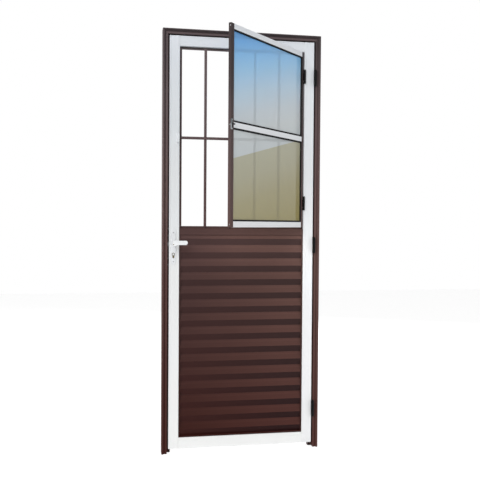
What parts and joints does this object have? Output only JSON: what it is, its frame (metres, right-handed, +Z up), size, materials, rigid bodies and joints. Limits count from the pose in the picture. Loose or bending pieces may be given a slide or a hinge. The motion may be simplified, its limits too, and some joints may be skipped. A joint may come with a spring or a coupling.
{
  "type": "half-glazed entrance door with frame",
  "caption": "Narrow-stile door leaf in a three-sided frame, corrugated lower panel, upper grille with a side-hung glazed casement, lever lockset.",
  "frame": {"origin": "middle of the doorway, at floor level, in the plane of the frame's front", "axes": "+Z up, +X towards the hinge side, +Y away from the viewer, through the wall"},
  "size_m": [0.8, 0.5362, 2.1],
  "materials": {
    "frame_paint": "satin",
    "panel_paint": "satin",
    "leaf_paint": "satin",
    "lever_paint": "gloss",
    "hinge_black": "satin",
    "steel": "satin",
    "brass": "satin",
    "rubber": "matte",
    "glass": "gloss"
  },
  "bodies": {
    "frame": {"frame_jamb_lock_side": "frame_paint", "frame_jamb_hinge_side": "frame_paint", "frame_head": "frame_paint", "corner_cleat_lock_side": "steel", "corner_cleat_hinge_side": "steel", "frame_seal": "rubber", "strike_plate": "steel", "door_hinge_top_frame_half": "hinge_black", "door_hinge_middle_frame_half": "hinge_black", "door_hinge_bottom_frame_half": "hinge_black"},
    "leaf": {"casement_hinge_bottom_leaf_half": "hinge_black", "casement_hinge_top_leaf_half": "hinge_black", "casement_keeper": "leaf_paint", "door_hinge_bottom_leaf_half": "hinge_black", "door_hinge_middle_leaf_half": "hinge_black", "door_hinge_top_leaf_half": "hinge_black", "escutcheon_inside": "lever_paint", "escutcheon_outside": "lever_paint", "grille_bar_1": "frame_paint", "grille_bar_2": "frame_paint", "grille_bar_3": "frame_paint", "grille_bar_4": "frame_paint", "grille_crossbar": "frame_paint", "leaf_bottom_rail": "leaf_paint", "leaf_middle_rail": "frame_paint", "leaf_stile_hinge_side": "leaf_paint", "leaf_stile_lock_side": "leaf_paint", "leaf_top_rail": "leaf_paint", "lining_hinge_side": "frame_paint", "lining_lock_side": "frame_paint", "lining_top": "frame_paint", "lock_case": "steel", "lock_cylinder": "brass", "panel_channel_bottom": "panel_paint", "panel_channel_hinge_side": "panel_paint", "panel_channel_lock_side": "panel_paint", "panel_plank_1": "panel_paint", "panel_plank_2": "panel_paint", "panel_plank_3": "panel_paint", "panel_plank_4": "panel_paint", "panel_plank_5": "panel_paint"},
    "casement": {"sash_stile_free": "frame_paint", "sash_stile_hinge": "frame_paint", "sash_top_rail": "leaf_paint", "sash_middle_rail": "leaf_paint", "sash_bottom_rail": "leaf_paint", "glass_upper": "glass", "glass_lower": "glass", "gasket_upper": "rubber", "gasket_lower": "rubber", "catch_base": "steel", "casement_hinge_top_sash_half": "hinge_black", "casement_hinge_bottom_sash_half": "hinge_black"},
    "catch_lever": {"catch_lever": "steel"},
    "levers": {"lever_outside": "lever_paint", "lever_inside": "lever_paint", "lever_spindle": "steel"},
    "latch_bolt": {"latch_bolt": "steel"},
    "cylinder_plug": {"cylinder_plug": "brass"},
    "deadbolt": {"deadbolt": "steel"}
  },
  "joints": [
    {"name": "door_swing", "type": "hinge", "parent": "frame", "child": "leaf", "pos_m": [0.37, -0.0035, 1.0383], "axis": [0, 0, 1], "range_deg": [0, 110]},
    {"name": "casement_swing", "type": "hinge", "parent": "leaf", "child": "casement", "pos_m": [0.316, 0.001, 1.5715], "axis": [0, 0, 1], "range_deg": [-45, 60]},
    {"name": "catch_turn", "type": "hinge", "parent": "casement", "child": "catch_lever", "pos_m": [-0.12877, -0.43528, 1.5775], "axis": [-0.7071, 0.7071, 0], "range_deg": [0, 90]},
    {"name": "lever_turn", "type": "hinge", "parent": "leaf", "child": "levers", "pos_m": [-0.3444, 0.0195, 1.042], "axis": [0, 1, 0], "range_deg": [0, 45], "stiffness_Nm_per_rad": 0.8, "springref_deg": -17.19},
    {"name": "latch_slide", "type": "slide", "parent": "leaf", "child": "latch_bolt", "axis": [1, 0, 0], "range_m": [0, 0.0105]},
    {"name": "key_turn", "type": "hinge", "parent": "leaf", "child": "cylinder_plug", "pos_m": [-0.3444, 0.0195, 0.9918], "axis": [0, -1, 0], "range_deg": [0, 360]},
    {"name": "deadbolt_slide", "type": "slide", "parent": "leaf", "child": "deadbolt", "axis": [-1, 0, 0], "range_m": [0, 0.016]}
  ],
  "couplings": [
    {"joint": "latch_slide", "follows": "lever_turn", "m_per_rad": 0.01336},
    {"joint": "key_turn", "follows": "deadbolt_slide", "rad_per_m": 392.7}
  ]
}
